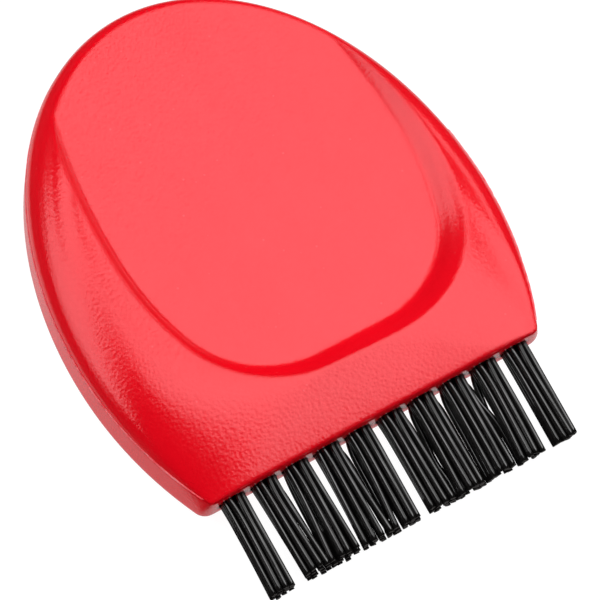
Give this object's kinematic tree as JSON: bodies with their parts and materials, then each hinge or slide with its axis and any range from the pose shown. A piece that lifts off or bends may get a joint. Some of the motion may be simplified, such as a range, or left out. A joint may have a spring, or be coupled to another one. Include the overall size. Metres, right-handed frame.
{
  "type": "club groove brush",
  "caption": "Palm-held golf club groove brush: egg-shaped moulded handle with an oval thumb recess and one row of stiff nylon tufts.",
  "frame": {"origin": "in the plane of the flat back, under the middle of the overall box", "axes": "+Z out of the front face, +Y from the bristle end to the handle's rounded top, +X along the row of tufts"},
  "size_m": [0.0586, 0.0786, 0.0119],
  "materials": {
    "handle_plastic": "fine spark grain, satin",
    "bristle_nylon": "drawn nylon filament, cut square",
    "anchor_wire": "plain flat wire"
  },
  "bodies": {
    "root": {"handle": "handle_plastic", "tuft_01": "bristle_nylon", "tuft_02": "bristle_nylon", "tuft_03": "bristle_nylon", "tuft_04": "bristle_nylon", "tuft_05": "bristle_nylon", "tuft_06": "bristle_nylon", "tuft_07": "bristle_nylon", "tuft_08": "bristle_nylon", "tuft_09": "bristle_nylon", "tuft_10": "bristle_nylon", "anchor_01": "anchor_wire", "anchor_02": "anchor_wire", "anchor_03": "anchor_wire", "anchor_04": "anchor_wire", "anchor_05": "anchor_wire", "anchor_06": "anchor_wire", "anchor_07": "anchor_wire", "anchor_08": "anchor_wire", "anchor_09": "anchor_wire", "anchor_10": "anchor_wire"}
  },
  "joints": []
}
